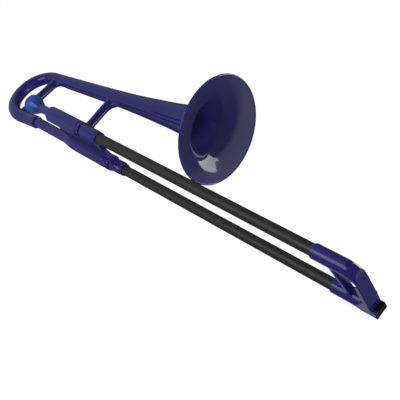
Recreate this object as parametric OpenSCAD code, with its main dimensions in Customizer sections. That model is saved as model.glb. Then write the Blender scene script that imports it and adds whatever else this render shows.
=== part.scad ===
// Tenor slide trombone in moulded plastic, lying on its side:
// it rests on the bell rim, the tuning bow and the bumper.
// +X points forward along the slide, +Z up, origin on the ground
// below the middle of the instrument. Millimetres.

/* [Slide] */
// Distance between the two slide tubes, centre to centre
slide_w = 84; // [83:0.5:85]
// Radius of the outer slide tubes
tube_r = 8.9; // [8.7:0.05:9.1]
// Radius of the inner slide tubes
inner_r = 7; // [6.8:0.05:7]
// Radius of the inner tubes' running ends (stockings)
stocking_r = 7.2; // [7.15:0.05:7.2]
// Radial clearance of every running fit
fit = 0.05; // [0.02:0.01:0.08]

/* [Grip] */
// Radius of the mouthpiece receiver barrel
receiver_r = 13.7; // [13.4:0.1:14]
// Radius of the lower grip barrel
barrel_r = 14; // [13.8:0.1:14.2]
// Thickness of the hand brace webs at their waist
web_t = 11; // [8:0.5:13]

/* [Bell] */
// Radius of the bell at its rim
bell_r = 101.6; // [100:0.2:103]
// Wall of the bell
bell_wall = 2.4; // [2:0.1:2.6]
// How quickly the bell opens: larger is a later, sharper flare
flare_g = 0.47; // [0.45:0.01:0.49]
// Angle of the bell section about the lower slide tube, in degrees
bell_angle = 79.1; // [78:0.1:80]
// Angle by which the bell opens away from the slide, in degrees
bell_tilt = 5.44; // [5.2:0.02:5.7]

/* [Tuning bow] */
// Radius of the bow's tube
bow_r = 12.6; // [12.4:0.1:13]
// Radius of the bow's upper bend
bend_top = 47.6; // [46:0.2:49]
// Radius of the bow's lower bend
bend_low = 78; // [77:0.2:79]

/* [Crook] */
// Radius of the crook's cross tube
crook_r = 12.2; // [12:0.1:12.4]
// Radius of the crook's upper bend
crook_bend = 28; // [24:1:32]

/* [Hidden] */
$fn = 96;
blue = "#2a2a78";
dark = "#191933";
black = "#2b2b28";
bright = "#2350b8";
metal = "#b8bac0";

// Angle by which the whole instrument leans over when it lies down
roll = 46.387;
// Angle by which its nose dips when it lies down
pitch = 0.239;
// The lying instrument moved so that its box stands centred on the origin
x_shift = 29.116;
y_shift = -138.394;
z_shift = 74.982;
// Bell axis to lower slide axis, at the rim
bell_w = 161.4;

// Stations along the slide, from the rim of the bell
x_mouth = -306;    // mouthpiece rim
x_recv = -242;     // back of the receiver barrel
x_shank = -195;    // front end of the mouthpiece's shank
x_split = -138;    // where the outer slide meets the handle, upper side
x_split_l = -113;  // the same, lower side
x_sleeve_u = -85;  // front end of the upper brace sleeve
x_sleeve_l = -77;  // front end of the lower brace sleeve
x_crook = 391;     // back end of the crook's upper leg
x_crook_l = 394.5; // back end of the crook's lower leg
x_cross = 458.5;   // middle of the crook's cross tube
x_bump = 472.3;    // front face of the bumper
x_inner = 430;     // front end of the upper inner tube
x_inner_l = 450;   // front end of the lower inner tube
x_collar = -224;   // front of the bell collar
x_neck = -364.3;   // front end of the gooseneck's bend

// Stations along the bell axis, from the rim
a_seam = -430;     // back end of the bell's stem
a_bow = -524.3;    // back of the bow's centre line
a_leg = -390.5;    // front end of the bow's lower leg
bow_h = bend_top + bend_low;
leg_r = 10.55;     // radius of the tuning slide's inner leg
neck_r = 10;       // radius of the gooseneck
neck_in = 9.6;     // radius of the gooseneck inside the bow's leg
tenon_r = 9.5;     // radius of the gooseneck inside the grip barrel
neck_bend = 120;   // radius of the gooseneck's slight bend
strut_r = 8.7;     // radius of the two braces

// Water key stations on the crook's lower leg
key_x = 428; key_z = 17.5; seat_x = 447;

// ---- frames ----
module place() { translate([x_shift, y_shift, z_shift]) rotate([0, pitch, 0]) rotate([-roll, 0, 0]) children(); }
module lower() { place() translate([0, slide_w, 0]) children(); }
module bell_plane() { lower() rotate([bell_angle, 0, 0]) children(); }
module bell_frame() { bell_plane() translate([0, bell_w, 0]) rotate([0, 0, bell_tilt]) children(); }

// ---- shapes that repeat ----
module xcyl(x0, x1, r) { translate([x0, 0, 0]) rotate([0, 90, 0]) cylinder(h = x1 - x0, r = r); }
module xcone(x0, x1, r0, r1) { translate([x0, 0, 0]) rotate([0, 90, 0]) cylinder(h = x1 - x0, r1 = r0, r2 = r1); }
module xtube(x0, x1, ro, ri) { difference() { xcyl(x0, x1, ro); xcyl(x0 - 1, x1 + 1, ri); } }
// A turned shape about X from [radius, station] points
module turned(pts) { rotate([0, 90, 0]) rotate_extrude() polygon(pts); }
// A ring of round section about X
module xring(x, r_mid, r_wire) { translate([x, 0, 0]) rotate([0, 90, 0]) rotate_extrude() translate([r_mid, 0]) circle(r_wire); }
// Part of a ring about X: angle 180 is up, away from the slide plane
module xsector(x0, x1, r0, r1, a0, a1) {
  translate([x0, 0, 0]) rotate([0, 90, 0]) rotate([0, 0, a0])
    rotate_extrude(angle = a1 - a0) translate([r0, 0]) square([r1 - r0, x1 - x0]);
}
// A quarter of a pipe bend in the plane of X and Y
module bend(cx, cy, r_bend, r_pipe, a0, sweep) {
  translate([cx, cy, 0]) rotate([0, 0, a0]) rotate_extrude(angle = sweep) translate([r_bend, 0]) circle(r_pipe);
}
module rod(p, q, r0, r1, t0, t1) {
  d = q - p;
  translate([p[0], p[1], 0]) rotate([0, 0, atan2(d[1], d[0])]) rotate([0, 90, 0])
    translate([0, 0, t0]) cylinder(h = t1 - t0, r1 = r0, r2 = r1);
}
// A web between the two slide lines, hollowed on both faces
module web(pts, waist, r_hollow) {
  difference() {
    translate([0, 0, -14]) linear_extrude(height = 28) polygon(pts);
    for (s = [-1, 1]) translate([-400, slide_w / 2, s * (r_hollow + waist / 2)])
      rotate([0, 90, 0]) cylinder(h = 900, r = r_hollow, $fn = 180);
  }
}
// Station of the slanting joint between the two hand webs, at a height across the slide
function split(y) = x_split + (x_split_l - x_split) * y / slide_w;

// ---- mouthpiece ----
mp_out = [for (i = [0:24]) let (u = i / 24) [7.95 + 10.35 * (1 + cos(180 * u)) / 2, x_mouth + 5 + 37 * u]];
mp_rim = [for (i = [0:12]) let (t = 180 - 15 * i) [15.5 + 2.8 * cos(t), x_mouth + 3.2 - 3.2 * sin(t)]];
mp_cup = [for (i = [0:14]) let (u = 1 - i / 14) [max(3.4, 12.7 * sqrt(max(0, 1 - u * u))), x_mouth + 3.2 + 24 * u]];
module mouthpiece() {
  color(bright) place() turned(concat(mp_rim, mp_out,
    [[7.6, x_recv], [6.3, x_shank], [5.3, x_shank], [3.4, -262]], mp_cup));
}

// ---- handle ----
module mouthpiece_receiver() {
  color(blue) place() difference() {
    union() {
      turned(concat([[0, x_recv]],
        [for (i = [0:10]) let (t = 9 * i) [9.6 + (receiver_r - 9.6) * sin(t), x_recv + 8 * (1 - cos(t))]],
        [[receiver_r, x_split - 5.6], [receiver_r - 0.6, x_split - 5], [0, x_split - 5]]));
      xcyl(x_split - 6, x_split + 4.6, 10.5);
    }
    xcone(x_recv - 0.5, x_shank, 7.6 + 0.5 * 1.3 / 47 + fit, 6.3 + fit);
    xcyl(x_shank - 1, -187, 6.3);
    xcyl(-188, x_split + 5, inner_r);
    xcyl(x_split, x_split + 5, 9.4);
  }
}
module lead_pipe() {
  color(metal) place() difference() {
    xcyl(x_shank + 1, -50, 6.3);
    xcone(x_shank, -49, 5, 5.9);
  }
}
module fixed_hand_brace() {
  color(blue) place() difference() {
    web([[-237.5, 7], [x_split - 5.6, 7], [x_split - 5.6, 17], [split(17) - 0.6, 17],
      [split(slide_w - 7) - 0.6, slide_w - 7], [-237.5, slide_w - 7]], web_t, 100);
    translate([-336, 106, -20]) cylinder(h = 40, r = 118, $fn = 180);
    xcyl(-260, -100, receiver_r);
    translate([0, slide_w, 0]) xcyl(-260, -100, barrel_r);
  }
}
module bell_receiver_barrel() {
  color(blue) lower() difference() {
    turned([[0, x_collar + 0.3], [barrel_r - 0.6, x_collar + 0.3], [barrel_r, x_collar + 0.9],
      [barrel_r, x_split_l - 0.8], [barrel_r - 0.8, x_split_l], [0, x_split_l]]);
    xcyl(x_collar - 1, -188, tenon_r + fit);
    xcyl(-189, -171, 6.35);
    xcyl(-172, x_split_l + 1, inner_r);
    xcyl(x_split_l - 5, x_split_l + 1, 11);
  }
}
module inner_tube_upper() { color(metal) place() xtube(-188, x_inner, inner_r, 6.35); }
module inner_tube_lower() { color(metal) lower() xtube(-172, x_inner_l, inner_r, 6.35); }
module stocking_upper() { color(metal) place() xtube(x_inner - 90, x_inner, stocking_r, inner_r); }
module stocking_lower() { color(metal) lower() xtube(x_inner_l - 90, x_inner_l, stocking_r, inner_r); }
module cushion_rings() {
  color(dark) {
    place() xtube(x_split, x_split + 4.9, 9.35, inner_r + 0.1);
    lower() xtube(x_split_l - 5, x_split_l + 0.7, 10.95, inner_r + 0.1);
  }
}
module slide_lock_ring() {
  color(dark) place() {
    difference() {
      union() {
        xcyl(x_split - 4.6, x_split + 4.2, 12.9);
        xsector(x_split - 3.5, x_split + 16, 12.5, 14.6, 180, 190);
        xsector(x_split + 13.2, x_split + 15.6, 12.7, 14.3, 168, 186);
      }
      xcyl(x_split - 6, x_split + 6, 10.5 + fit);
    }
  }
}

// ---- outer slide ----
module outer_tube_upper() { color(black) place() xtube(x_sleeve_u - 20, x_crook + 17, tube_r, stocking_r + fit); }
module outer_tube_lower() { color(black) lower() xtube(x_sleeve_l - 20, x_crook + 17, tube_r, stocking_r + fit); }
module outer_slide_brace() {
  color(blue) place() difference() {
    union() {
      turned([[0, x_split + 5.4], [11.3, x_split + 5.4], [11.8, x_split + 5.9], [11.8, x_sleeve_u - 10],
        [11, x_sleeve_u - 0.8], [10.4, x_sleeve_u], [0, x_sleeve_u]]);
      xsector(x_split + 8, x_split + 10.5, 11, 14.4, 150, 157);
      translate([0, slide_w, 0]) turned([[0, x_split_l + 1.5], [11.2, x_split_l + 1.5], [11.7, x_split_l + 2],
        [11.5, x_sleeve_l - 10], [11, x_sleeve_l - 0.8], [10.4, x_sleeve_l], [0, x_sleeve_l]]);
      difference() {
        web([[x_split + 5.4, 6], [-87, 6], [-84, slide_w - 6], [x_split_l + 1.5, slide_w - 6], [x_split_l + 1.5, 69.3],
          [split(69.3) + 1.2, 69.3], [split(16) + 1.2, 16], [x_split + 5.4, 16]], web_t, 140);
        translate([-68, 43, -20]) cylinder(h = 40, r = 37);
      }
    }
    xcyl(x_split - 9, x_sleeve_u + 1, stocking_r + 0.1);
    xcyl(x_sleeve_u - 20, x_sleeve_u + 1, tube_r);
    translate([0, slide_w, 0]) {
      xcyl(x_split_l - 9, x_sleeve_l + 1, stocking_r + 0.1);
      xcyl(x_sleeve_l - 20, x_sleeve_l + 1, tube_r);
    }
  }
}
leg_l = 10.8;      // radius of the crook's lower leg
crook_front = 463.4; // flat front of the cross-piece
crook_back = 455.8;  // back edge of its flat sides
crook_hw = 11;       // half the width over the flat sides
end_x = 466.5;       // end of the lower leg, behind the bumper
pass_x = 456;        // middle of the air passage down the cross-piece
pass_r = 5.6;
pass_bend = pass_x - x_cross + crook_bend;
module crook_solid() {
  xcyl(x_crook, 404, 11);
  xcone(404, x_cross - crook_bend, 11, crook_r);
  translate([0, slide_w, 0]) xcyl(x_crook_l, end_x, leg_l);
}
// The outside of the corner, open on its inner side and cut flat in front
module crook_corner() {
  difference() {
    bend(x_cross - crook_bend, crook_bend, crook_bend, crook_r, -90, 90);
    translate([400, 11.8, -20]) cube([crook_back - 400, 60, 40]);
    translate([crook_front, -60, -20]) cube([60, 200, 40]);
  }
  intersection() {
    xcyl(x_cross - crook_bend - 1, crook_back + 2, 11.6);
    translate([x_cross - crook_bend, crook_bend, -20]) cylinder(h = 40, r = 38);
  }
}
module end_crook() {
  color(blue) place() difference() {
    union() {
      crook_solid();
      crook_corner();
      translate([0, 0, -crook_hw]) linear_extrude(height = 2 * crook_hw)
        polygon([[crook_back, 9], [crook_front, 9], [crook_front, 67], [end_x, 73], [end_x, 90.35], [441, 90.35], [446, 80], [crook_back, 60]]);
      bend(x_cross - crook_bend, pass_bend, pass_bend, pass_r + 1.9, -90, 90);
      translate([pass_x, pass_bend, 0]) rotate([-90, 0, 0]) cylinder(h = slide_w - pass_bend, r = pass_r + 1.9);
    }
    for (a = [0, 180]) rotate([a, 0, 0]) translate([404, -60, crook_hw]) cube([60, 120, 20]);
    translate([0, 0, -20]) linear_extrude(height = 40) polygon([[447, 95.5], [455, 90.35], [480, 90.35], [480, 110], [447, 110]]);
    xcyl(x_crook - 1, x_crook + 17, tube_r);
    xcyl(x_crook + 16, x_cross - crook_bend, stocking_r + fit);
    bend(x_cross - crook_bend, pass_bend, pass_bend, pass_r, -90, 90);
    translate([pass_x, pass_bend, 0]) rotate([-90, 0, 0]) cylinder(h = slide_w - pass_bend, r = pass_r);
    translate([0, slide_w, 0]) {
      xcyl(x_crook_l - 1, x_crook + 17, tube_r);
      xcyl(x_crook + 16, 452, stocking_r + fit);
      xcyl(451, pass_x, pass_r);
      xcyl(463.4, 467, 5);
      translate([seat_x, 0, 5]) cylinder(h = 10, r = 3.2);
    }
  }
}
module crook_web() {
  color(blue) place() difference() {
    translate([0, 0, -6]) linear_extrude(height = 12)
      polygon([[409.5, 6], [416, 6], [431, slide_w - 6], [424.5, slide_w - 6]]);
    crook_solid();
  }
}
module bumper() {
  color(black) lower() union() {
    xcyl(463.6, 467, 4.95);
    intersection() {
      xcyl(end_x, x_bump, 12.4);
      translate([end_x - 1, -6.5, -11.2]) cube([x_bump - end_x + 2, 12.85, 22.4]);
    }
  }
}

// ---- water key ----
module water_key_seat() {
  color(metal) lower() translate([seat_x, 0, 7.6]) difference() {
    cylinder(h = 7.9, r = 3.2);
    translate([0, 0, -1]) cylinder(h = 10, r = 1.8);
  }
}
module water_key_bracket() {
  color(metal) lower() difference() {
    for (s = [-1, 1]) translate([key_x - 3.2, s * 4.6 - 1, 9]) cube([6.4, 2, key_z - 9 + 3]);
    xcyl(key_x - 10, key_x + 10, leg_l);
    translate([key_x, -10, key_z]) rotate([-90, 0, 0]) cylinder(h = 20, r = 1.2);
  }
}
module water_key_pin() {
  color(metal) lower() translate([key_x, -6.4, key_z]) rotate([-90, 0, 0]) cylinder(h = 12.8, r = 1.2);
}
module water_key_spring() {
  color(metal) lower() for (s = [-1, 1]) {
    translate([key_x, s * 3.05, key_z]) rotate([90, 0, 0]) rotate_extrude() translate([1.75, 0]) circle(0.4, $fn = 24);
    translate([key_x - 1.75, s * 3.05, 11.5]) cylinder(h = key_z - 11.5, r = 0.3, $fn = 24);
  }
}
module water_key_lever() {
  color(metal) lower() difference() {
    translate([0, 2.5, 0]) rotate([90, 0, 0]) union() {
      translate([key_x, key_z, 0]) cylinder(h = 5, r = 3.1);
      linear_extrude(height = 5) polygon([[key_x - 37.5, 23.6], [key_x - 36, 22.4], [key_x - 14, 20], [key_x - 1, key_z - 1],
        [key_x + 3, 17], [seat_x - 4, 18], [seat_x + 4, 18], [seat_x + 4, 20.4], [key_x + 2, key_z + 3.4], [key_x - 2, key_z + 3.4],
        [key_x - 14, 22.4], [key_x - 36, 24.6]]);
    }
    translate([key_x, -10, key_z]) rotate([-90, 0, 0]) cylinder(h = 20, r = 1.2 + fit);
  }
}
module water_key_pad() { color(dark) lower() translate([seat_x, 0, 15.6]) cylinder(h = 2.4, r = 3.5); }

// ---- bell section ----
f0 = 5.9;
fb = (bell_r - 0.6) * pow(f0, flare_g);
function swell(d) = 1.2 * exp(-pow((d - 135) / 65, 2));
function flare(d) = fb / pow(d + f0, flare_g) + swell(d);
function steep(d) = flare_g * fb / pow(d + f0, flare_g + 1) + 2 * (d - 135) / 65 / 65 * swell(d);
n_bell = 44;
function dist(i) = -a_seam * pow(1 - i / n_bell, 2.2);
bell_out = [for (i = [0:n_bell]) [flare(dist(i)), -dist(i)]];
function wall_in(i) = let (d = dist(i), s = steep(d), q = sqrt(1 + s * s))
  [flare(d) - bell_wall / q, -d + bell_wall * s / q];
bell_joint = 19;   // step of the curve at which the flare is welded to the stem
module bell_solid() { turned(concat([[0, a_seam]], bell_out, [[0, 0]])); }
module bell_flare() {
  color(blue) bell_frame() union() {
    turned(concat([for (i = [bell_joint:n_bell]) bell_out[i]], [for (k = [bell_joint:n_bell]) wall_in(n_bell + bell_joint - k)]));
    xring(1.2, bell_r - 1.9, 1.9);
  }
}
module bell_stem() {
  color(blue) bell_frame()
    turned(concat([for (i = [0:bell_joint]) bell_out[i]],
      [for (k = [0:bell_joint]) let (i = bell_joint - k) if (dist(i) < 384) wall_in(i)],
      [[flare(384) - bell_wall, -384], [leg_r + fit, -384], [leg_r + fit, a_seam]]));
}
// Brace ends in the bell's own frame: on the bell axis and on the lower slide line
fb_top = [-282.9, 0];
fb_foot = [-253.6, -138];
module front_bell_brace() {
  l = norm(fb_foot - fb_top);
  color(blue) difference() {
    bell_frame() {
      rod(fb_top, fb_foot, strut_r, strut_r, 8, l - 4);
      rod(fb_top, fb_foot, 15, strut_r, 8, 34);
      rod(fb_top, fb_foot, strut_r, 11.5, l - 30, l - 8);
    }
    bell_frame() bell_solid();
    lower() collar_solid();
  }
}
module collar_solid() {
  turned([[0, -262], [10.6, -262], [11.4, -258], [barrel_r - 0.3, -240], [barrel_r - 0.1, -237],
    [barrel_r - 0.1, x_collar - 0.7], [barrel_r - 0.8, x_collar], [0, x_collar]]);
}
module bell_collar() {
  color(blue) lower() difference() { collar_solid(); xcyl(-270, x_collar + 1, neck_r); }
}
module gooseneck() {
  color(blue) difference() {
    union() {
      bell_plane() {
        xcyl(x_neck, x_collar, neck_r);
        bend(x_neck, -neck_bend, neck_bend, neck_r, 90, bell_tilt);
        xcyl(x_collar - 1, -190, tenon_r);
      }
      bell_frame() translate([0, -bow_h, 0]) xcyl(a_leg - 50, a_leg + 1.4, neck_in);
    }
    bell_plane() {
      xcyl(x_neck, -180, 7.6);
      bend(x_neck, -neck_bend, neck_bend, 7.6, 90, bell_tilt);
      translate([-206, 0, 0]) rotate([0, 90, 0]) difference() { cylinder(h = 2, r = 12); translate([0, 0, -1]) cylinder(h = 4, r = 8.2); }
    }
    bell_frame() translate([0, -bow_h, 0]) xcyl(a_leg - 60, a_leg + 2, 7.3);
  }
}
module tenon_oring() { color(dark) lower() xring(-205, 8.86, 0.62); }

// ---- tuning slide ----
a_t = a_bow + bend_top;   // front end of the upper bend
a_l = a_bow + bend_low;   // front end of the lower bend
module bow_solid(r, extra) {
  bend(a_t, -bend_top, bend_top, r, 90, 90);
  bend(a_l, -bend_top, bend_low, r, 180, 90);
  xcyl(a_t, a_seam - 0.4 + extra, r);
  translate([0, -bow_h, 0]) xcyl(a_l, a_leg + extra, r);
}
module tuning_bow() {
  color(blue) bell_frame() difference() {
    union() {
      bow_solid(bow_r, 0);
      translate([0, -bow_h, 0]) turned([[0, a_leg - 14], [bow_r, a_leg - 14], [bow_r + 0.3, a_leg - 13], [bow_r + 0.3, a_leg - 1], [bow_r - 0.7, a_leg], [0, a_leg]]);
    }
    bow_solid(8.6, 5);
    xcyl(a_t + 4, a_seam + 2, leg_r);
    translate([0, -bow_h, 0]) xcyl(a_leg - 52, a_leg + 2, neck_in + fit);
  }
}
tb_top = [-468.5, 0];
tb_foot = [-452.5, -bow_h];
module tuning_slide_brace() {
  l = norm(tb_foot - tb_top);
  color(blue) bell_frame() difference() {
    union() {
      rod(tb_top, tb_foot, strut_r, strut_r, 6, l - 6);
      rod(tb_top, tb_foot, 14, strut_r, 6, 30);
      rod(tb_top, tb_foot, strut_r, 11.5, l - 28, l - 7);
    }
    bow_solid(bow_r, 0);
    bend(a_t, -bend_top, bend_top, bow_r, 90, 90);
  }
}
module tuning_inner_leg() {
  color(metal) bell_frame() difference() {
    xcyl(a_t + 4, a_seam + 50, leg_r);
    xcyl(a_t + 3, a_seam + 51, 9.3);
    for (k = [0, 1]) translate([a_seam + 36 + 7 * k, 0, 0]) rotate([0, 90, 0]) difference() {
      cylinder(h = 1.4, r = 12); translate([0, 0, -1]) cylinder(h = 4, r = 9.7);
    }
  }
}
module tuning_orings() {
  color(dark) bell_frame() for (k = [0, 1]) xring(a_seam + 36.7 + 7 * k, 10.05, 0.5);
}

mouthpiece();
mouthpiece_receiver();
lead_pipe();
fixed_hand_brace();
bell_receiver_barrel();
inner_tube_upper();
inner_tube_lower();
stocking_upper();
stocking_lower();
cushion_rings();
slide_lock_ring();
outer_tube_upper();
outer_tube_lower();
outer_slide_brace();
end_crook();
crook_web();
bumper();
water_key_seat();
water_key_bracket();
water_key_pin();
water_key_spring();
water_key_lever();
water_key_pad();
bell_flare();
bell_stem();
front_bell_brace();
gooseneck();
bell_collar();
tenon_oring();
tuning_bow();
tuning_slide_brace();
tuning_inner_leg();
tuning_orings();
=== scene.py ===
import math
import bpy
import numpy as np
from mathutils import Matrix, Vector


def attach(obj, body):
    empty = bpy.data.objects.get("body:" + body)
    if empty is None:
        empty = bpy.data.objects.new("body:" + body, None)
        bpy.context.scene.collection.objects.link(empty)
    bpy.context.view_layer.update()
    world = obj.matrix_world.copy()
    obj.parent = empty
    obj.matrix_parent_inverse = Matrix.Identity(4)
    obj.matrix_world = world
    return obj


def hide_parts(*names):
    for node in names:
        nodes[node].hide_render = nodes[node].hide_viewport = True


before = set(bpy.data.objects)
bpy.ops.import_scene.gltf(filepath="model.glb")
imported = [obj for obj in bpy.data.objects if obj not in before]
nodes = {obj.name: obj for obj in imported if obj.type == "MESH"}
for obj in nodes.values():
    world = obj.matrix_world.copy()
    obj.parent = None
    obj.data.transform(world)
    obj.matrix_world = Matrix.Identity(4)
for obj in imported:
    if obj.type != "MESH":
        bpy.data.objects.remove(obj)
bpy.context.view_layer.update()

scene = bpy.context.scene

# ------------------------------------------------------------------ frames
# Shapes are worked out in millimetres in the slide's own frame: x forward along
# the slide, y from the upper tube to the lower one, z across. The instrument
# lies on its side, so that frame is rolled and shifted into the part's frame.
ROLL, PITCH = math.radians(46.387), math.radians(0.239)
SHIFT = np.array([29.116, -138.394, 74.982])
_rx = np.array([[1, 0, 0],
                [0, math.cos(ROLL), math.sin(ROLL)],
                [0, -math.sin(ROLL), math.cos(ROLL)]])
_ry = np.array([[math.cos(PITCH), 0, math.sin(PITCH)],
                [0, 1, 0],
                [-math.sin(PITCH), 0, math.cos(PITCH)]])
ROT = _ry @ _rx
SLIDE_W = 84.0
BELL_ANGLE, BELL_TILT = math.radians(79.1), math.radians(5.44)
EX = np.array([1.0, 0, 0])
EE = np.array([0, math.cos(BELL_ANGLE), math.sin(BELL_ANGLE)])
BA = math.cos(BELL_TILT) * EX + math.sin(BELL_TILT) * EE      # along the bell
BB = -math.sin(BELL_TILT) * EX + math.cos(BELL_TILT) * EE     # across, in the bell's plane
BC = np.cross(BA, BB)
RIM = np.array([0, SLIDE_W, 0]) + 161.4 * EE


def row(p):
    """Slide frame in mm to the part's frame in metres."""
    return (np.asarray(p, float) @ ROT.T + SHIFT) * 1e-3


def row_dir(v):
    return np.asarray(v, float) @ ROT.T


def bell_pt(p):
    """Bell frame (along, across, out of plane) to the slide frame, mm."""
    p = np.atleast_2d(np.asarray(p, float))
    return RIM + p[:, 0:1] * BA + p[:, 1:2] * BB + p[:, 2:3] * BC


def to_bell(p):
    q = p - RIM
    return np.stack([q @ BA, q @ BB, q @ BC], 1)


# ------------------------------------------------------------------ meshes
def new_mesh(name, verts, faces, sharp=32.0):
    me = bpy.data.meshes.new(name)
    me.from_pydata([tuple(v) for v in verts], [], [tuple(f) for f in faces])
    me.validate()
    me.polygons.foreach_set("use_smooth", np.ones(len(me.polygons), bool))
    if sharp:
        me.set_sharp_from_angle(angle=math.radians(sharp))
    me.update()
    ob = bpy.data.objects.new(name, me)
    scene.collection.objects.link(ob)
    return ob


def lathe(name, prof, place, n=144, sharp=32.0, phase=0.0):
    """A closed turned mesh. prof is a closed loop of (x, r); place maps (x, u, v) in mm to slide frame.
    Points on the axis become one vertex."""
    prof = [(float(a), max(0.0, float(b))) for a, b in prof]
    ang = np.arange(n) * 2 * math.pi / n + phase
    ca, sa = np.cos(ang), np.sin(ang)
    pts, rings = [], []
    for x, r in prof:
        if r < 1e-6:
            rings.append([len(pts)] * n)
            pts.append((x, 0, 0))
        else:
            rings.append(list(range(len(pts), len(pts) + n)))
            pts.extend(zip([x] * n, r * ca, r * sa))
    faces = []
    m = len(prof)
    for i in range(m):
        a, b = rings[i], rings[(i + 1) % m]
        if a[0] == a[1] and b[0] == b[1]:
            continue
        for k in range(n):
            k2 = (k + 1) % n
            q = [a[k], a[k2], b[k2], b[k]]
            f = [v for j, v in enumerate(q) if v not in q[:j]]
            if len(f) > 2:
                faces.append(f)
    pts = np.array(pts)
    area = sum(prof[i][0] * prof[(i + 1) % m][1] - prof[(i + 1) % m][0] * prof[i][1] for i in range(m))
    if area > 0:
        faces = [f[::-1] for f in faces]
    return new_mesh(name, row(place(pts)), faces, sharp)


def on_upper(p):
    return p


def on_lower(p):
    return p + np.array([0, SLIDE_W, 0])


def arc(cx, cr, rx, rr, a0, a1, n):
    """Points of an ellipse in the (x, r) plane from angle a0 to a1 in degrees."""
    t = np.radians(np.linspace(a0, a1, n))
    return [(cx + rx * math.cos(v), cr + rr * math.sin(v)) for v in t]


def tube_sweep(name, path, radius, n=72, caps=True, sharp=35.0):
    """A closed tube along a path of points in the slide frame; radius is one number or one per point."""
    path = np.asarray(path, float)
    rad = np.full(len(path), radius) if np.isscalar(radius) else np.asarray(radius, float)
    tan = np.gradient(path, axis=0)
    tan /= np.linalg.norm(tan, axis=1)[:, None]
    ref = BC.copy()
    verts, faces = [], []
    ang = np.arange(n) * 2 * math.pi / n
    for p, t, r in zip(path, tan, rad):
        u = ref - t * (ref @ t)
        u /= np.linalg.norm(u)
        w = np.cross(t, u)
        verts.append(p + r * (np.cos(ang)[:, None] * u + np.sin(ang)[:, None] * w))
    verts = np.concatenate(verts)
    m = len(path)
    for i in range(m - 1):
        for k in range(n):
            k2 = (k + 1) % n
            faces.append((i * n + k, i * n + k2, (i + 1) * n + k2, (i + 1) * n + k))
    if caps:
        faces.append(tuple(range(n))[::-1])
        faces.append(tuple((m - 1) * n + k for k in range(n)))
    return new_mesh(name, row(verts), faces, sharp)


# ---- implicit shapes: distances in mm, blended smoothly, then meshed
def smin(a, b, k):
    h = np.maximum(k - np.abs(a - b), 0) / k
    return np.minimum(a, b) - h * h * k * 0.25


def smax(a, b, k):
    return -smin(-a, -b, k)


def d_poly(x, y, pts):
    """Signed distance to a polygon in a plane."""
    pts = np.asarray(pts, float)
    d = np.full(x.shape, 1e9)
    s = np.ones(x.shape)
    j = len(pts) - 1
    for i in range(len(pts)):
        ex, ey = pts[j] - pts[i]
        wx, wy = x - pts[i, 0], y - pts[i, 1]
        t = np.clip((wx * ex + wy * ey) / (ex * ex + ey * ey), 0, 1)
        d = np.minimum(d, (wx - ex * t) ** 2 + (wy - ey * t) ** 2)
        c1, c2, c3 = y >= pts[i, 1], y < pts[j, 1], ex * wy > ey * wx
        s = np.where((c1 & c2 & c3) | (~c1 & ~c2 & ~c3), -s, s)
        j = i
    return s * np.sqrt(d)


def d_lathe(p, prof, y=0.0, z=0.0):
    """Turned solid about x through (y, z); prof is an open list of (x, r) from axis to axis."""
    rho = np.hypot(p[:, 1] - y, p[:, 2] - z)
    x0, x1 = prof[0][0], prof[-1][0]
    pts = [(x0, -40.0)] + list(prof) + [(x1, -40.0)]
    return d_poly(p[:, 0], rho, pts)


def d_rod(p, x0, x1, r, y=0.0, z=0.0):
    rho = np.hypot(p[:, 1] - y, p[:, 2] - z) - r
    dx = np.abs(p[:, 0] - (x0 + x1) / 2) - (x1 - x0) / 2
    return np.minimum(np.maximum(rho, dx), 0) + np.hypot(np.maximum(rho, 0), np.maximum(dx, 0))


def d_capsule(p, a, b, r0, r1=None):
    r1 = r0 if r1 is None else r1
    a, b = np.asarray(a, float), np.asarray(b, float)
    ab = b - a
    t = np.clip(((p - a) @ ab) / (ab @ ab), 0, 1)
    return np.linalg.norm(p - a - t[:, None] * ab, axis=1) - (r0 + (r1 - r0) * t)


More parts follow.
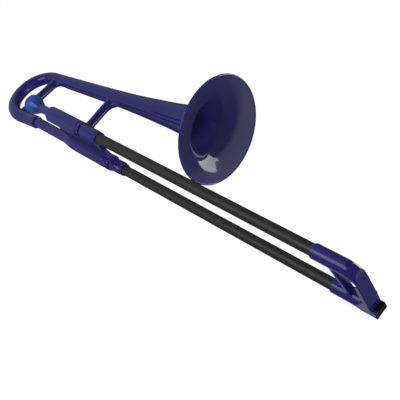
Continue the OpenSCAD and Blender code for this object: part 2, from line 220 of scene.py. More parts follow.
def net(name, f, lo, hi, h, sharp=38.0, relax=4):
    """Meshes f = 0 between lo and hi with cells of size h, then pulls every vertex onto the surface."""
    lo, hi = np.asarray(lo, float), np.asarray(hi, float)
    n = np.ceil((hi - lo) / h).astype(int) + 1
    ax = [lo[i] + h * np.arange(n[i]) for i in range(3)]
    val = np.empty(n)
    for i in range(n[0]):
        g = np.stack(np.meshgrid([ax[0][i]], ax[1], ax[2], indexing="ij"), -1).reshape(-1, 3)
        val[i] = f(g).reshape(n[1], n[2])
    ins = val < 0
    c = n - 1
    total, count = np.zeros(tuple(c) + (3,)), np.zeros(c)
    sl = lambda o: tuple(slice(o[i], o[i] + c[i]) for i in range(3))
    corners = [(i, j, k) for i in (0, 1) for j in (0, 1) for k in (0, 1)]
    for a in corners:
        for d in range(3):
            if a[d]:
                continue
            b = tuple(a[i] + (i == d) for i in range(3))
            va, vb = val[sl(a)], val[sl(b)]
            m = ins[sl(a)] != ins[sl(b)]
            t = np.where(m, va / np.where(m, va - vb, 1), 0)
            for i in range(3):
                total[..., i] += np.where(m, a[i] + (t if i == d else 0), 0)
            count += m
    act = count > 0
    idx = np.full(c, -1)
    idx[act] = np.arange(act.sum())
    cell = np.argwhere(act)
    v = lo + (cell + total[act] / count[act][:, None]) * h
    quads = []
    for d in range(3):
        o1, o2 = (d + 1) % 3, (d + 2) % 3
        s0 = [slice(1, c[i]) for i in range(3)]
        s0[d] = slice(0, c[d])
        s1 = list(s0)
        s1[d] = slice(1, c[d] + 1)
        a, b = ins[tuple(s0)], ins[tuple(s1)]
        cr = np.argwhere(a != b)
        flip = a[a != b]
        off = np.ones(3, int)
        off[d] = 0
        cr = cr + off
        e1, e2 = np.eye(3, dtype=int)[o1], np.eye(3, dtype=int)[o2]
        q = np.stack([idx[tuple((cr - e1 - e2).T)], idx[tuple((cr - e2).T)],
                      idx[tuple(cr.T)], idx[tuple((cr - e1).T)]], 1)
        q[~flip] = q[~flip][:, ::-1]
        quads.append(q)
    quads = np.concatenate(quads)
    quads = quads[(quads >= 0).all(1)]
    used = np.unique(quads)
    remap = np.full(len(v), -1)
    remap[used] = np.arange(len(used))
    v, quads = v[used], remap[quads]

    def grad(p):
        e = 0.05
        return np.stack([f(p + e * np.eye(3)[i]) - f(p - e * np.eye(3)[i]) for i in range(3)], 1) / (2 * e)

    def pull(p, times):
        for _ in range(times):
            d, g = f(p), grad(p)
            step = d / np.maximum((g * g).sum(1), 0.15)
            p = p - g * np.clip(step, -0.6 * h, 0.6 * h)[:, None]
        return p

    v = pull(v, 3)
    ed = np.concatenate([quads[:, [i, (i + 1) % 4]] for i in range(4)])
    for _ in range(relax):
        s, k = np.zeros_like(v), np.zeros(len(v))
        np.add.at(s, ed[:, 0], v[ed[:, 1]])
        np.add.at(k, ed[:, 0], 1)
        np.add.at(s, ed[:, 1], v[ed[:, 0]])
        np.add.at(k, ed[:, 1], 1)
        g = grad(v)
        g /= np.maximum(np.linalg.norm(g, axis=1), 1e-6)[:, None]
        mv = s / k[:, None] - v
        mv -= g * (mv * g).sum(1)[:, None]
        v = pull(v + 0.5 * mv, 1)
    return new_mesh(name, row(v), quads, sharp)


# ------------------------------------------------------------------ materials
def base_nodes(name):
    m = bpy.data.materials.new(name)
    m.use_nodes = True
    nt = m.node_tree
    nt.nodes.clear()
    out = nt.nodes.new("ShaderNodeOutputMaterial")
    b = nt.nodes.new("ShaderNodeBsdfPrincipled")
    nt.links.new(b.outputs[0], out.inputs[0])
    return m, nt, b


def N(nt, kind, **kw):
    n = nt.nodes.new(kind)
    for k, v in kw.items():
        setattr(n, k, v)
    return n


def noise(nt, vec, scale, detail=2.0, rough=0.5):
    n = N(nt, "ShaderNodeTexNoise")
    n.inputs["Scale"].default_value = scale
    n.inputs["Detail"].default_value = detail
    n.inputs["Roughness"].default_value = rough
    nt.links.new(vec, n.inputs["Vector"])
    return n.outputs["Fac"]


def remap(nt, fac, lo, hi, a=0.3, b=0.7):
    n = N(nt, "ShaderNodeMapRange")
    n.inputs["From Min"].default_value = a
    n.inputs["From Max"].default_value = b
    n.inputs["To Min"].default_value = lo
    n.inputs["To Max"].default_value = hi
    nt.links.new(fac, n.inputs["Value"])
    return n.outputs[0]


def two_tone(nt, fac, c0, c1):
    n = N(nt, "ShaderNodeMix", data_type="RGBA")
    n.inputs["A"].default_value = (*c0, 1)
    n.inputs["B"].default_value = (*c1, 1)
    for s in n.inputs:
        if s.name == "A" and s.type == "RGBA":
            s.default_value = (*c0, 1)
        if s.name == "B" and s.type == "RGBA":
            s.default_value = (*c1, 1)
    nt.links.new(fac, n.inputs["Factor"])
    return [o for o in n.outputs if o.type == "RGBA"][0]


def stretched(nt, vec, scale):
    n = N(nt, "ShaderNodeMapping")
    n.inputs["Scale"].default_value = scale
    nt.links.new(vec, n.inputs["Vector"])
    return n.outputs[0]


def seam_and_glow_band(nt, vec, point, normal, width, along=None, ends=None):
    """1 on a narrow band where the surface crosses a plane, 0 elsewhere: a mould line, or the band of painted glow on
    the mouthpiece; it fades out between ends, measured along.
    """
    s = N(nt, "ShaderNodeVectorMath", operation="SUBTRACT")
    s.inputs[1].default_value = tuple(point)
    nt.links.new(vec, s.inputs[0])
    d = N(nt, "ShaderNodeVectorMath", operation="DOT_PRODUCT")
    d.inputs[1].default_value = tuple(normal)
    nt.links.new(s.outputs[0], d.inputs[0])
    a = N(nt, "ShaderNodeMath", operation="ABSOLUTE")
    nt.links.new(d.outputs["Value"], a.inputs[0])
    n = N(nt, "ShaderNodeMapRange", interpolation_type="SMOOTHSTEP")
    n.inputs["From Min"].default_value = 0.0
    n.inputs["From Max"].default_value = width
    n.inputs["To Min"].default_value = 1.0
    n.inputs["To Max"].default_value = 0.0
    nt.links.new(a.outputs[0], n.inputs["Value"])
    if along is None:
        return n.outputs[0]
    e = N(nt, "ShaderNodeVectorMath", operation="DOT_PRODUCT")
    e.inputs[1].default_value = tuple(along)
    nt.links.new(s.outputs[0], e.inputs[0])
    f = N(nt, "ShaderNodeMapRange", interpolation_type="SMOOTHSTEP")
    f.inputs["From Min"].default_value, f.inputs["From Max"].default_value = ends
    f.inputs["To Min"].default_value, f.inputs["To Max"].default_value = 1.0, 0.0
    nt.links.new(e.outputs["Value"], f.inputs["Value"])
    x = N(nt, "ShaderNodeMath", operation="MULTIPLY")
    nt.links.new(n.outputs[0], x.inputs[0])
    nt.links.new(f.outputs[0], x.inputs[1])
    return x.outputs[0]


def bump(nt, height, strength, dist, normal=None):
    n = N(nt, "ShaderNodeBump")
    n.inputs["Strength"].default_value = strength
    n.inputs["Distance"].default_value = dist
    nt.links.new(height, n.inputs["Height"])
    if normal is not None:
        nt.links.new(normal, n.inputs["Normal"])
    return n.outputs[0]


def moulded(name, c0, c1, r0, r1, seam=None, peel=0.35, spec=0.5):
    """Glossy moulded plastic: slow colour drift, uneven gloss, fine orange peel, hair scratches, a mould line."""
    m, nt, b = base_nodes(name)
    vec = N(nt, "ShaderNodeTexCoord").outputs["Object"]
    nt.links.new(two_tone(nt, remap(nt, noise(nt, vec, 22, 3), 0, 1), c0, c1), b.inputs["Base Color"])
    rough = remap(nt, noise(nt, vec, 70, 4, 0.6), r0, r1)
    nt.links.new(rough, b.inputs["Roughness"])
    b.inputs["Specular IOR Level"].default_value = spec
    b.inputs["IOR"].default_value = 1.5
    h = bump(nt, noise(nt, vec, 330, 2), peel, 0.00004)
    h = bump(nt, noise(nt, stretched(nt, vec, (60, 1500, 1500)), 1.0, 2), 0.10, 0.00003, h)
    if seam:
        h = bump(nt, seam_and_glow_band(nt, vec, *seam), 0.6, 0.0001, h)
    nt.links.new(h, b.inputs["Normal"])
    return m


BELL_SEAM = (row(RIM), row_dir(BC), 0.00035, row_dir(BA), (-0.11, -0.07))
BLUE0, BLUE1 = (0.026, 0.0185, 0.215), (0.031, 0.022, 0.25)
m_slide = moulded("navy_abs_slide", BLUE0, BLUE1, 0.06, 0.12)
m_bell = moulded("navy_abs_bell", BLUE0, BLUE1, 0.05, 0.10, BELL_SEAM)
# the bell's inside: the same navy made greyer, more red and green and less blue, a painted grey reflection haze
m_bell_in_painted_haze = moulded("navy_abs_bell_inside_painted_haze", (0.043, 0.033, 0.172), (0.048, 0.037, 0.194), 0.05, 0.10)
# the lock ring: the navy at about 0.7 times, painted shade of the groove it sits in, and a little rougher
m_lock_painted_shade = moulded("navy_abs_lock_painted_shade", (0.018, 0.013, 0.14), (0.021, 0.015, 0.16), 0.12, 0.2)

# fibre-filled tube: charcoal with fine lengthwise streaks and a satin skin
m_tube, nt, b = base_nodes("charcoal_fibre_tube")
vec = N(nt, "ShaderNodeTexCoord").outputs["Object"]
st = noise(nt, stretched(nt, vec, (14, 700, 700)), 1.0, 4, 0.6)
nt.links.new(two_tone(nt, remap(nt, st, 0, 1), (0.016, 0.0155, 0.0135), (0.028, 0.0275, 0.024)), b.inputs["Base Color"])
nt.links.new(remap(nt, noise(nt, vec, 90, 4), 0.34, 0.46), b.inputs["Roughness"])
h = bump(nt, st, 0.25, 0.00004)
h = bump(nt, noise(nt, vec, 1400, 2), 0.3, 0.00003, h)
nt.links.new(h, b.inputs["Normal"])

# bumper, cushions and seals
m_rubber, nt, b = base_nodes("black_rubber")
vec = N(nt, "ShaderNodeTexCoord").outputs["Object"]
nt.links.new(two_tone(nt, remap(nt, noise(nt, vec, 160, 4), 0, 1), (0.004, 0.004, 0.004), (0.008, 0.008, 0.0078)), b.inputs["Base Color"])
b.inputs["Specular IOR Level"].default_value = 0.3
nt.links.new(remap(nt, noise(nt, vec, 240, 3), 0.5, 0.72), b.inputs["Roughness"])
nt.links.new(bump(nt, noise(nt, vec, 1200, 3), 0.5, 0.00008), b.inputs["Normal"])


def metal(name, c0, c1, r0, r1, stretch):
    m, nt, b = base_nodes(name)
    vec = N(nt, "ShaderNodeTexCoord").outputs["Object"]
    br = noise(nt, stretched(nt, vec, stretch), 1.0, 4, 0.6)
    nt.links.new(two_tone(nt, remap(nt, br, 0, 1), c0, c1), b.inputs["Base Color"])
    b.inputs["Metallic"].default_value = 1.0
    nt.links.new(remap(nt, br, r0, r1), b.inputs["Roughness"])
    nt.links.new(bump(nt, br, 0.2, 0.00002), b.inputs["Normal"])
    return m


m_inner = metal("satin_inner_tube", (0.56, 0.56, 0.57), (0.66, 0.66, 0.665), 0.22, 0.34, (20, 1500, 1500))
m_stock = metal("polished_stocking", (0.62, 0.62, 0.63), (0.7, 0.7, 0.71), 0.10, 0.18, (30, 900, 900))
m_key = metal("satin_key_metal", (0.5, 0.49, 0.47), (0.6, 0.59, 0.57), 0.22, 0.36, (60, 900, 900))

def dress(ob, mat):
    ob.data.materials.clear()
    ob.data.materials.append(mat)


def add(ob, body, slot, mat, *replaced):
    dress(ob, mat)
    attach(ob, body)
    if replaced:
        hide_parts(*replaced)
    return ob


# ------------------------------------------------------------------ stations, mm
X_MOUTH, X_RECV, X_SHANK, X_SPLIT, X_SPLIT_L = -306.0, -242.0, -195.0, -138.0, -113.0
X_SLEEVE_U, X_SLEEVE_L, X_CROOK, X_CROOK_L = -85.0, -77.0, 391.0, 394.5
X_CROSS, X_BUMP, X_COLLAR, X_NECK = 458.5, 472.3, -224.0, -364.3
A_SEAM, A_BOW, A_LEG = -430.0, -524.3, -390.5
BEND_TOP, BEND_LOW = 47.6, 78.0
BOW_H = BEND_TOP + BEND_LOW
BOW_R, CROOK_R, CROOK_BEND, LEG_L = 12.6, 12.2, 28.0, 10.8
RECV_R, BARREL_R, TUBE_R, STRUT_R = 13.7, 14.0, 8.9, 8.7
BELL_R, WALL, G, F0 = 101.6, 2.4, 0.47, 5.9
FB = (BELL_R - 0.6) * F0 ** G


def split(y):
    return X_SPLIT + (X_SPLIT_L - X_SPLIT) * y / SLIDE_W


def swell(d):
    return 1.2 * np.exp(-((d - 135) / 65) ** 2)


def flare(d):
    return FB / (d + F0) ** G + swell(d)


def steep(d):
    return G * FB / (d + F0) ** (G + 1) + 2 * (d - 135) / 65 / 65 * swell(d)


# ------------------------------------------------------------------ bell
d = -A_SEAM * (1 - np.linspace(0, 1, 130)) ** 2.2
s = steep(d)
q = np.sqrt(1 + s * s)
outer = list(zip(-d, flare(d)))
inner = [(x, r) for dd, x, r in zip(d, -d + WALL * s / q, flare(d) - WALL / q) if dd < 384]
bead = arc(1.2, BELL_R - 1.9, 1.9, 1.9, 128, -140, 22)
prof = [(A_SEAM, 10.6), (A_SEAM, 12.0), (A_SEAM + 0.5, outer[0][1])] + outer[2:-2] + bead + inner[::-1][2:]
prof += [(-384.0, float(flare(384.0)) - WALL), (-384.0, 10.6)]
bell = lathe("bell_shell", prof, bell_pt, n=192, sharp=40)
add(bell, "bell_section", "blue_plastic", m_bell, "bell_flare", "bell_stem")
bell.data.materials.append(m_bell_in_painted_haze)
# faces turned towards the bell's axis take the inside copy with its painted reflection haze
bell_mid, bell_dir = Vector(row(RIM)), Vector(row_dir(BA))
for f in bell.data.polygons:
    arm = f.center - bell_mid
    arm -= bell_dir * arm.dot(bell_dir)
    if f.normal.dot(arm) < 0:
        f.material_index = 1

# ------------------------------------------------------------------ bell braces


def stem_d(p, off):
    """Distance to the bell's stem, sunk by off so that a fillet runs out on it."""
    bp = to_bell(p)
    return np.hypot(bp[:, 1], bp[:, 2]) - (flare(np.clip(-bp[:, 0], 40, 430)) - off)


def collar_d(p, off):
    prof = [(-262, 10.6 - off), (-258, 11.4 - off), (-240, 13.7 - off), (-237, 13.9 - off), (X_COLLAR, 13.9 - off)]
    return d_lathe(p, prof, SLIDE_W)


def bow_path(n_bend=28):
    """Centre line of the tuning bow in the bell frame, from the stem to the lower leg's front end."""
    a_t, a_l = A_BOW + BEND_TOP, A_BOW + BEND_LOW
    pts = [(A_SEAM - 0.4, 0), (A_SEAM - 20, 0)]
    for t in np.radians(np.linspace(90, 180, n_bend)):
        pts.append((a_t + BEND_TOP * math.cos(t), -BEND_TOP + BEND_TOP * math.sin(t)))
    for t in np.radians(np.linspace(180, 270, n_bend + 14))[1:]:
        pts.append((a_l + BEND_LOW * math.cos(t), -BEND_TOP + BEND_LOW * math.sin(t)))
    pts += [(A_LEG - 40, -BOW_H), (A_LEG - 14, -BOW_H), (A_LEG, -BOW_H)]
    return np.array([(a, c, 0) for a, c in pts])


def bow_d(p, off):
    bp = to_bell(p)
    a, c, o = bp.T
    a_t, a_l = A_BOW + BEND_TOP, A_BOW + BEND_LOW
    top = np.hypot(np.where(a > a_t, c, np.hypot(a - a_t, np.maximum(c + BEND_TOP, 0)) - BEND_TOP), o)
    top = np.where(c < -BEND_TOP, 1e3, top)
    low = np.hypot(np.where(a > a_l, c + BOW_H, np.hypot(a - a_l, np.minimum(c + BEND_TOP, 0)) - BEND_LOW), o)
    low = np.where(c > -BEND_TOP, 1e3, low)
    return np.minimum(top, low) - (BOW_R - off)


fb_top, fb_foot = bell_pt([(-282.9, 0, 0)])[0], bell_pt([(-253.6, -138, 0)])[0]


def gusset(p, top, foot, r_tube, fillet):
    """A fillet plate in the bell's plane, between the front of a strut and the tube above it."""
    a, c, o = to_bell(p).T
    top, foot = np.asarray(top, float), np.asarray(foot, float)
    u = (foot - top) / np.linalg.norm(foot - top)
    cc = -(r_tube - 2.0 + fillet)
    ca = top[0] + u[0] / u[1] * cc + (STRUT_R - 2.0 + fillet) / -u[1]
    side = (a - top[0]) * u[1] - c * u[0]
    flat = np.maximum(np.maximum(fillet - np.hypot(a - ca, c - cc), a - ca), np.maximum(cc - c, side))
    flat = np.maximum(flat, c)
    return smax(flat, np.abs(o) - 4.2, 3.0)


def front_brace(p):
    strut = d_capsule(p, fb_top, fb_foot, STRUT_R)
    strut = smin(strut, gusset(p, (-282.9, 0), (-253.6, -138), 16.7, 27.0), 4.0)
    top = smin(strut, stem_d(p, 0.05), 3.0)
    both = smin(top, collar_d(p, 0.05), 3.0)
    near_top = np.linalg.norm(p - bell_pt([(-268, -6, 0)])[0], axis=1) - 38
    near_foot = np.linalg.norm(p - fb_foot, axis=1) - 24
    keep = np.minimum(np.minimum(near_top, near_foot), d_capsule(p, fb_top, fb_foot, 20))
    return np.maximum(both, keep)


def corners(*pts, pad):
    pts = np.array(pts)
    return pts.min(0) - pad, pts.max(0) + pad


lo, hi = corners(fb_top, fb_foot, pad=46)
ob = net("front_brace_filleted", front_brace, lo, hi, 1.0)
add(ob, "bell_section", "blue_plastic", m_bell, "front_bell_brace")

tb_top, tb_foot = bell_pt([(-468.5, 0, 0)])[0], bell_pt([(-452.5, -BOW_H, 0)])[0]


def tuning_brace(p):
    strut = d_capsule(p, tb_top, tb_foot, STRUT_R)
    strut = smin(strut, gusset(p, (-468.5, 0), (-452.5, -BOW_H), BOW_R, 23.0), 4.0)
    both = smin(strut, bow_d(p, 0.05), 3.0)
    near = np.minimum(np.linalg.norm(p - tb_top, axis=1) - 34, np.linalg.norm(p - tb_foot, axis=1) - 27)
    a = to_bell(p)[:, 0] - (A_SEAM - 1.2)
    return np.maximum(np.maximum(both, np.minimum(near, d_capsule(p, tb_top, tb_foot, 20))), a)


lo, hi = corners(tb_top, tb_foot, pad=42)
ob = net("tuning_brace_filleted", tuning_brace, lo, hi, 1.0)
add(ob, "tuning_slide", "blue_plastic", m_bell, "tuning_slide_brace")

# ------------------------------------------------------------------ tuning bow
path = bow_path()
rad = np.full(len(path), BOW_R)
seg = np.linalg.norm(np.diff(path, axis=0), axis=1)
extra, erad = [], []
tail = [(A_LEG - 14.0, BOW_R), (A_LEG - 13.0, BOW_R + 0.3), (A_LEG - 1.0, BOW_R + 0.3), (A_LEG - 0.3, BOW_R - 0.2), (A_LEG, BOW_R - 0.8)]
head = [(A_SEAM - 0.4, BOW_R - 0.6), (A_SEAM - 0.9, BOW_R - 0.1), (A_SEAM - 1.6, BOW_R)]
body_pts = path[1:-2]
full = np.concatenate([[(a, 0, 0) for a, _ in head], body_pts, [(a, -BOW_H, 0) for a, _ in tail]])
frad = np.concatenate([[r for _, r in head], np.full(len(body_pts), BOW_R), [r for _, r in tail]])
ob = tube_sweep("tuning_bow_tube", bell_pt(full), frad, n=96)
add(ob, "tuning_slide", "blue_plastic", m_bell, "tuning_bow")

# ------------------------------------------------------------------ collar on the lower slide line
ob = lathe("bell_collar_turned",
           [(-262, 10.02), (-262, 10.5), (-261, 10.9), (-258, 11.4), (-250, 12.55), (-240, 13.7), (-237, 13.88),
            (X_COLLAR - 0.8, 13.9), (X_COLLAR - 0.2, 13.6), (X_COLLAR, 13.1), (X_COLLAR, 10.02)],
           on_lower, n=120)
add(ob, "bell_section", "blue_plastic", m_bell, "bell_collar")

# ------------------------------------------------------------------ handle: receiver, barrel and web in one moulding
recv_prof = [(X_RECV, 0), (X_RECV, 9.6)] + arc(X_RECV + 8, 9.6, 8, 4.1, 180, 90, 9)[1:] + \
    [(X_SPLIT - 5.6, RECV_R), (X_SPLIT - 5, RECV_R - 0.6), (X_SPLIT - 5, 0)]
barrel_prof = [(X_COLLAR + 0.3, 0), (X_COLLAR + 0.3, BARREL_R - 0.6), (X_COLLAR + 0.9, BARREL_R),
               (X_SPLIT_L - 0.9, BARREL_R), (X_SPLIT_L, BARREL_R - 0.9), (X_SPLIT_L, 0)]
fixed_web = [(-239.5, 2), (X_SPLIT - 5.6, 2), (X_SPLIT - 5.6, 17), (split(17) - 0.6, 17),
             (split(82) - 0.6, 82), (-239.5, 82)]


def handle(p):
    x, y, z = p.T
    recv = d_lathe(p, recv_prof)
    barrel = d_lathe(p, barrel_prof, SLIDE_W)
    flat = np.maximum(d_poly(x, y, fixed_web), 118.0 - np.hypot(x + 336.0, y - 106.0))
    half = 5.5 + 100 - np.sqrt(np.maximum(1e4 - (y - 42) ** 2, 1))
    web = smax(flat, np.abs(z) - half, 4.5)
    body = smin(smin(recv, web, 6.0), barrel, 6.0)
    body = np.maximum(body, x - (X_SPLIT_L))
    body = np.maximum(body, -(x - (X_COLLAR + 0.3)) * ((y > 62) * 2 - 1) - 200 * (y <= 62))
    body = np.maximum(body, -d_rod(p, X_SPLIT - 5, X_SPLIT + 30, 13.6))
    body = np.minimum(body, d_rod(p, X_SPLIT - 7, X_SPLIT + 4.6, 10.45))
    body = np.maximum(body, -d_rod(p, X_SPLIT, X_SPLIT + 6, 9.4))
    return np.maximum(body, -d_rod(p, X_SPLIT_L - 5, X_SPLIT_L + 3, 11.0, SLIDE_W))


ob = net("handle_moulding", handle, (-246, -18, -18), (-109, 102, 18), 0.9)
add(ob, "slide_inner", "blue_plastic", m_slide, "fixed_hand_brace", "mouthpiece_receiver", "bell_receiver_barrel")

# ------------------------------------------------------------------ outer slide brace
up_prof = [(X_SPLIT + 5.4, 0), (X_SPLIT + 5.4, 11.2), (X_SPLIT + 6, 11.8), (X_SLEEVE_U - 10, 11.8),
           (X_SLEEVE_U - 0.8, 11.0), (X_SLEEVE_U, 10.3), (X_SLEEVE_U, 0)]
dn_prof = [(X_SPLIT_L + 1.5, 0), (X_SPLIT_L + 1.5, 11.1), (X_SPLIT_L + 2.1, 11.7), (X_SLEEVE_L - 10, 11.5),
           (X_SLEEVE_L - 0.8, 11.0), (X_SLEEVE_L, 10.3), (X_SLEEVE_L, 0)]
outer_web = [(X_SPLIT + 5.4, 2), (-87, 2), (-84, 82), (X_SPLIT_L + 1.5, 82), (X_SPLIT_L + 1.5, 69.3), (split(69.3) + 1.2, 69.3), (split(16) + 1.2, 16), (X_SPLIT + 5.4, 16)]
peg_c = math.radians(153.5)
PEG_OUT = np.array([0, math.sin(peg_c), -math.cos(peg_c)])
PEG_SIDE = np.array([0, math.cos(peg_c), math.sin(peg_c)])
PEG = np.array([X_SPLIT + 9.25, 0, 0]) + 12.6 * PEG_OUT


def outer_brace(p):
    x, y, z = p.T
    up = d_lathe(p, up_prof)
    dn = d_lathe(p, dn_prof, SLIDE_W)
    flat = np.maximum(d_poly(x, y, outer_web), 37.0 - np.hypot(x + 68, y - 43))
    half = 5.5 + 140 - np.sqrt(np.maximum(140.0 ** 2 - (y - 42) ** 2, 1))
    web = smax(flat, np.abs(z) - half, 3.5)
    body = smin(smin(up, web, 5.0), dn, 5.0)
    rear = np.maximum(split(y) + 1.1, np.where(y < 16, X_SPLIT + 5.4, np.where(y > 69.3, X_SPLIT_L + 1.4, -1e3)))
    body = np.maximum(body, rear - x)
    # clear path for the lock's hook, then the peg that it closes behind
    hook = np.maximum(np.maximum(12.15 - np.hypot(y, z), x - (X_SPLIT + 17.2)), np.maximum(np.maximum(-y - 3.6, y - 8.6), -z))
    body = np.maximum(body, -hook)
    q = p - PEG
    q = np.stack([q[:, 0], q @ PEG_OUT, q @ PEG_SIDE], axis=1)
    peg = np.linalg.norm(np.maximum(np.abs(q) - np.array([1.1, 1.65, 0.6]), 0), axis=1) - 0.15
    body = np.minimum(body, peg)
    for y0, xs in ((0.0, X_SLEEVE_U), (SLIDE_W, X_SLEEVE_L)):
        body = np.maximum(body, -d_rod(p, -160, xs + 3, 7.35, y0))
        body = np.maximum(body, -d_rod(p, xs - 20, xs + 3, TUBE_R, y0))
    return body


ob = net("outer_brace_moulding", outer_brace, (-136, -16, -17), (-73, 100, 17), 0.85)
add(ob, "outer_slide", "blue_plastic", m_slide, "outer_slide_brace")

# ------------------------------------------------------------------ crook with its web
FRONT, BACK, HALF_W, PASS_X, PASS_R, TURN_X, TURN_R, TUBE_W = 463.2, 455.8, 11.0, 456.0, 6.6, 438.6, 28.5, 11.0
CHEEK_X, PAD_X, PAD_START, LEAN = X_BUMP - 0.1, X_BUMP - 0.4, 464.3, 0.037
leg_u = [(X_CROOK, 0), (X_CROOK, 10.2), (X_CROOK + 0.9, TUBE_W), (TURN_X, TUBE_W), (TURN_X + 0.6, TUBE_W - 0.4), (TURN_X + 0.6, 0)]
leg_d = [(X_CROOK_L, 0), (X_CROOK_L, 10.0), (X_CROOK_L + 0.9, LEG_L + 0.2), (FRONT - 1, LEG_L + 0.2), (FRONT - 1, 0)]
crook_plate = [(409.1, 3), (415.6, 3), (431.6, SLIDE_W - 3), (425.1, SLIDE_W - 3)]
flank = [(BACK, 22), (FRONT - 1.5, 14.5), (FRONT - 0.3, 17), (FRONT + LEAN * 65.3, 90.3), (446, 90.3), (434, 86.5), (440, 81), (BACK, 60)]
cheek = [(FRONT - 8, 70), (FRONT, 75.5), (CHEEK_X, 77.2), (CHEEK_X, 90.3), (FRONT - 8, 90.3)]
under = [(447, 95.5), (455, 90.3), (480, 90.3), (480, 110), (447, 110)]


def crook(p):
    x, y, z = p.T
    up = d_lathe(p, leg_u)
    dn = d_lathe(p, leg_d, SLIDE_W)
    bx, by = x - TURN_X, y - TURN_R
    ring = np.hypot(np.maximum(bx, 0), np.minimum(by, 0))
    bend = np.hypot(ring - TURN_R, z) - TUBE_W
    down = np.maximum(np.hypot(x - TURN_X - TURN_R, z) - TUBE_W, y - 50)
    bend = np.where(by > 0, down, np.where(bx < 0, np.maximum(np.hypot(y, z) - TUBE_W, -bx), bend))
    bend = smax(bend, np.minimum(BACK - x, y - 10.9), 2.0)
    run_on = np.maximum(d_rod(p, TURN_X - 6, BACK + 2, TUBE_W - 0.5), ring - 25)
    pr = PASS_X - 430.5
    px, py = x - 430.5, y - pr
    pipe = np.hypot(np.hypot(np.maximum(px, 0), np.minimum(py, 0)) - pr, z) - PASS_R
    pipe = np.where((px >= 0) & (py <= 0), pipe, np.where(py > 0, np.maximum(np.hypot(x - PASS_X, z) - PASS_R, y - SLIDE_W), 1e3))
    slab = smax(d_poly(x, y, flank), np.abs(z) - HALF_W, 1.2)
    top = np.minimum(np.minimum(up, bend), run_on)
    top = smax(top, x - FRONT - LEAN * (y - 25), 3.0)
    low = np.minimum(dn, slab)
    low = smax(low, -d_poly(x, y, under), 1.2)
    body = np.minimum(np.minimum(top, low), pipe)
    plate = smax(d_poly(x, y, crook_plate), np.abs(z) - 6.0, 1.0)
    body = smin(body, plate, 2.0)
    body = np.minimum(body, smax(d_poly(x, y, cheek), np.abs(z + 8.2) - 2.8, 1.8))
    for y0, xs in ((0.0, X_CROOK), (SLIDE_W, X_CROOK_L)):
        body = np.maximum(body, -d_rod(p, xs - 3, X_CROOK + 17, TUBE_R, y0))
    return body


ob = net("crook_moulding", crook, (387, -17, -17), (476, 101, 17), 0.8)
add(ob, "outer_slide", "blue_plastic", m_slide, "end_crook", "crook_web")

# ------------------------------------------------------------------ bumper
def bumper(p):
    x, y, z = p.T
    q = y - SLIDE_W
    pad = np.maximum(np.hypot(q, z) - 12.4, np.maximum(np.maximum(-5.4 - q, q - 6.3), np.maximum(z - 11.2, -5.6 - z)))
    pad = smax(pad, np.abs(x - (PAD_START + PAD_X) / 2) - (PAD_X - PAD_START) / 2 + 0.02, 1.6)
    dish = np.hypot(np.maximum(np.abs(z - 2) - 4.0, 0), q) - 2.6
    return smax(pad, -np.maximum(dish, PAD_X - 0.7 - x), 0.5)


ob = net("bumper_pad", bumper, (462, 75, -13), (474, 93, 13), 0.55)
add(ob, "outer_slide", "rubber", m_rubber, "bumper")

# ------------------------------------------------------------------ mouthpiece
# brighter, slightly see-through blue plastic; a band round the bowl is painted lighter and bluer, a painted glow of
# light shining through the plastic
m_mouth, nt, b = base_nodes("clear_blue_plastic")
vec = N(nt, "ShaderNodeTexCoord").outputs["Object"]
painted_glow_band = seam_and_glow_band(nt, vec, row((X_MOUTH + 15, 0, 0)), row_dir((1, 0, 0)), 0.016)
painted_glow_mask = N(nt, "ShaderNodeMath", operation="MULTIPLY")
nt.links.new(painted_glow_band, painted_glow_mask.inputs[0])
nt.links.new(remap(nt, noise(nt, vec, 60, 3), 0.8, 1.0), painted_glow_mask.inputs[1])
nt.links.new(two_tone(nt, painted_glow_mask.outputs[0], (0.03, 0.05, 0.30), (0.02, 0.15, 0.72)), b.inputs["Base Color"])
nt.links.new(remap(nt, noise(nt, vec, 120, 4), 0.14, 0.2), b.inputs["Roughness"])
b.inputs["Transmission Weight"].default_value = 0.12
b.inputs["IOR"].default_value = 1.49
nt.links.new(bump(nt, noise(nt, vec, 420, 2), 0.3, 0.00003), b.inputs["Normal"])

u = np.linspace(0, 1, 40)
bowl = [(X_MOUTH + 5 + 37 * a, 7.95 + 10.35 * (1 + math.cos(math.pi * a)) / 2) for a in u]
rim = arc(X_MOUTH + 3.2, 15.5, 3.2, 2.8, -90, -270, 22)
cup = [(X_MOUTH + 3.2 + 24 * a, max(3.4, 12.7 * math.sqrt(max(0, 1 - a * a)))) for a in np.linspace(1, 0, 26)]
ob = lathe("mouthpiece_turned", rim + bowl + [(X_RECV + 0.5, 7.62), (X_SHANK, 6.3), (X_SHANK, 5.3), (-262, 3.4)] + cup[:-1], on_upper, n=144)
add(ob, "mouthpiece", "clear_blue_plastic", m_mouth, "mouthpiece")

# ------------------------------------------------------------------ materials of the nodes that stay
for n in ("outer_tube_upper", "outer_tube_lower"):
    dress(nodes[n], m_tube)
for n in ("inner_tube_upper", "inner_tube_lower", "tuning_inner_leg", "lead_pipe"):
    dress(nodes[n], m_inner)
for n in ("stocking_upper", "stocking_lower"):
    dress(nodes[n], m_stock)
for n in ("water_key_seat", "water_key_bracket", "water_key_pin", "water_key_spring", "water_key_lever"):
    dress(nodes[n], m_key)
for n in ("cushion_rings", "water_key_pad", "tenon_oring", "tuning_orings"):
    dress(nodes[n], m_rubber)
dress(nodes["gooseneck"], m_bell)
# the lock ring takes the darker navy, its painted shade
dress(nodes["slide_lock_ring"], m_lock_painted_shade)

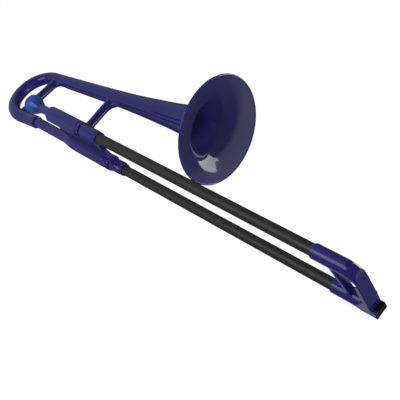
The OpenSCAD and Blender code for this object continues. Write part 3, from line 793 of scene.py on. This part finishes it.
# ------------------------------------------------------------------ camera
cam = bpy.data.cameras.new("camera")
cam.sensor_fit = "HORIZONTAL"
cam.sensor_width = 36.0
cam.lens = 67.0437
cam.clip_start, cam.clip_end = 0.05, 60
cam_ob = bpy.data.objects.new("camera", cam)
scene.collection.objects.link(cam_ob)
right, up, back = Vector((0.660904, 0.736429, 0.144495)), Vector((-0.348869, 0.131014, 0.927969)), Vector((0.664452, -0.663708, 0.343505))
mat = Matrix((right, up, back)).transposed().to_4x4()
mat.translation = Vector((0.928947, -0.862149, 0.436013))
cam_ob.matrix_world = mat
scene.camera = cam_ob

# ------------------------------------------------------------------ floor and light
floor = new_mesh("floor", [(-9, -9, 0), (9, -9, 0), (9, 9, 0), (-9, 9, 0)], [(0, 1, 2, 3)], None)
m_floor, nt, b = base_nodes("pale_floor")
b.inputs["Base Color"].default_value = (0.08, 0.08, 0.08, 1)
b.inputs["Roughness"].default_value = 0.8
b.inputs["Specular IOR Level"].default_value = 0.0
b.inputs["Emission Color"].default_value = (1, 1, 1, 1)
b.inputs["Emission Strength"].default_value = 1.0
dress(floor, m_floor)
# the floor stays out of the reflections and the bounced light; the studio's own light fills them
floor.visible_glossy = False
floor.visible_diffuse = False

world = bpy.data.worlds.new("studio")
scene.world = world
world.use_nodes = True
wt = world.node_tree
bg = wt.nodes["Background"]
bg.inputs[0].default_value = (0.97, 0.985, 1.03, 1)
way = N(wt, "ShaderNodeTexCoord").outputs["Generated"]


def glow(direction, start, end, lo, hi):
    """Radiance that rises smoothly towards one direction."""
    g = Vector(direction).normalized()
    dot = N(wt, "ShaderNodeVectorMath", operation="DOT_PRODUCT")
    dot.inputs[1].default_value = g
    wt.links.new(way, dot.inputs[0])
    n = N(wt, "ShaderNodeMapRange", interpolation_type="SMOOTHSTEP")
    n.inputs["From Min"].default_value, n.inputs["From Max"].default_value = start, end
    n.inputs["To Min"].default_value, n.inputs["To Max"].default_value = lo, hi
    wt.links.new(dot.outputs["Value"], n.inputs["Value"])
    return n.outputs[0]


def total(*parts):
    out = parts[0]
    for q in parts[1:]:
        n = N(wt, "ShaderNodeMath", operation="ADD")
        wt.links.new(out, n.inputs[0])
        wt.links.new(q, n.inputs[1])
        out = n.outputs[0]
    return out


# a dim room, lighter to the left and in front, at one place below, and low behind the object
wt.links.new(total(glow((-0.837, -0.483, 0.259), 0.4, 0.92, 0.14, 0.45),
                   glow((0.903, 0.421, 0.087), 0.707, 0.94, 0.0, 0.62),
                   glow((-0.5, 0.72, -0.47), 0.55, 0.86, 0.0, -0.10),
                   glow((-0.664, 0.664, -0.344), 0.93, 0.98, 0.0, 0.9),
                   glow((-0.454, 0.372, -0.81), 0.935, 0.985, 0.0, 0.36)), bg.inputs[1])


def softbox(name, pos, target, w, hgt, radiance):
    l = bpy.data.lights.new(name, "AREA")
    l.shape, l.size, l.size_y, l.energy = "RECTANGLE", w, hgt, radiance * math.pi * w * hgt
    o = bpy.data.objects.new(name, l)
    scene.collection.objects.link(o)
    o.location = pos
    o.rotation_euler = (Vector(target) - Vector(pos)).to_track_quat("-Z", "Y").to_euler()
    o.visible_camera = False
    return o


key = softbox("key_softbox", (-0.12, -1.3, 0.45), (-0.12, 0, 0.45), 1.1, 0.85, 2.0)
window = softbox("window_softbox", (0.38, 0.70, 0.40), (0.38, 0, 0.40), 0.44, 0.58, 4.4)
pane = softbox("window_side", (0.68, 0.70, 0.59), (0.68, 0, 0.59), 0.16, 0.2, 4.4)
bounce = softbox("floor_bounce", (0, 0, 0.0015), (0, 0, 1), 2.4, 2.4, 0.16)
# the key gives the long highlight and most of the shading, the window only a highlight
window.visible_diffuse = False
pane.visible_diffuse = False
bounce.visible_glossy = False
deep = bpy.data.objects.new("bell_fill", bpy.data.lights.new("bell_fill", "POINT"))
deep.data.energy, deep.data.shadow_soft_size = 0.012, 0.02
deep.location = row(bell_pt([(-38, 0, 0)])[0])
deep.visible_camera = deep.visible_glossy = False
scene.collection.objects.link(deep)

scene.view_settings.view_transform = "Standard"
scene.view_settings.look = "None"
scene.view_settings.exposure = 0.0
scene.view_settings.gamma = 1.0
